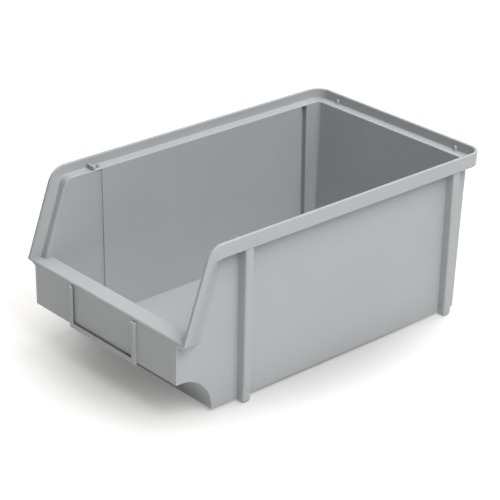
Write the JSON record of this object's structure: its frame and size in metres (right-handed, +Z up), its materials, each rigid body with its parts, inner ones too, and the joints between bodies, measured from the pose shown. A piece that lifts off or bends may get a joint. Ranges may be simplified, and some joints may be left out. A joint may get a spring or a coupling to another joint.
{
  "type": "stackable storage bin",
  "caption": "Open-fronted stacking storage bin in grey plastic, with a sloping rim, stacking ledge, feet, finger grip and label holder.",
  "frame": {"origin": "centre of the footprint, on the surface the feet stand on", "axes": "+Z up, +X across the bin, +Y from the open front to the back"},
  "size_m": [0.306, 0.5, 0.225],
  "materials": {
    "grey_plastic": "fine matte moulded surface, light neutral grey"
  },
  "bodies": {
    "root": {"floor_panel": "grey_plastic", "side_wall_left": "grey_plastic", "side_wall_right": "grey_plastic", "front_cheek_left": "grey_plastic", "front_cheek_right": "grey_plastic", "back_wall": "grey_plastic", "front_wall": "grey_plastic", "front_inner_wall": "grey_plastic", "front_shelf": "grey_plastic", "grip_arch": "grey_plastic", "ledge_left": "grey_plastic", "ledge_right": "grey_plastic", "ledge_back": "grey_plastic", "rim_band_left": "grey_plastic", "rim_band_right": "grey_plastic", "rim_band_back": "grey_plastic", "rim_corner_left": "grey_plastic", "rim_corner_right": "grey_plastic", "rim_bend_left": "grey_plastic", "rim_bend_right": "grey_plastic", "slant_rim_left": "grey_plastic", "slant_rim_right": "grey_plastic", "rim_tip_left": "grey_plastic", "rim_tip_right": "grey_plastic", "post_front_left": "grey_plastic", "post_front_right": "grey_plastic", "post_rear_left": "grey_plastic", "post_rear_right": "grey_plastic", "foot_front_left": "grey_plastic", "foot_front_right": "grey_plastic", "foot_rear_left": "grey_plastic", "foot_rear_right": "grey_plastic", "front_pins": "grey_plastic", "rear_pins": "grey_plastic", "stop_rib_left": "grey_plastic", "stop_rib_right": "grey_plastic", "label_rail_left": "grey_plastic", "label_rail_right": "grey_plastic", "label_rail_bottom": "grey_plastic"}
  },
  "joints": []
}
